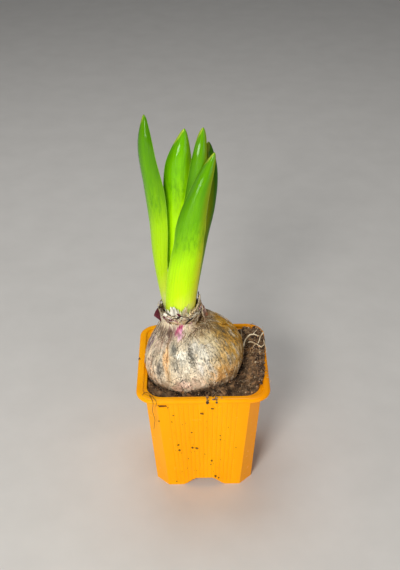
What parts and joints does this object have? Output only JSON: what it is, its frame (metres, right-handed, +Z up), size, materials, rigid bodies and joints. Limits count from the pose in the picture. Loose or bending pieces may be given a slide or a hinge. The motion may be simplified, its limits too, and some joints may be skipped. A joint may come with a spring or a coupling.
{
  "type": "potted hyacinth plant",
  "caption": "Sprouting hyacinth bulb with upright channelled leaves, half buried in soil in a square plastic nursery pot with a rolled rim and four feet.",
  "frame": {"origin": "middle of the pot's foot, on the surface it stands on", "axes": "+Z up from the pot to the leaf tips, -Y the side with the front leaf, +X the side where the soil is heaped"},
  "size_m": [0.085, 0.085, 0.2516],
  "materials": {
    "amber_plastic": "glossy moulded polypropylene",
    "compost": "loose, damp and matt",
    "papery_tunic": "dry, papery and ribbed",
    "leaf_green": "fleshy leaf, satin to glossy",
    "pale_root": "smooth and waxy"
  },
  "bodies": {
    "root": {"pot": "amber_plastic", "soil": "compost", "bulb": "papery_tunic", "leaf_front": "leaf_green", "leaf_left": "leaf_green", "leaf_middle": "leaf_green", "leaf_right": "leaf_green", "leaf_back": "leaf_green", "surface_roots": "pale_root"}
  },
  "joints": []
}
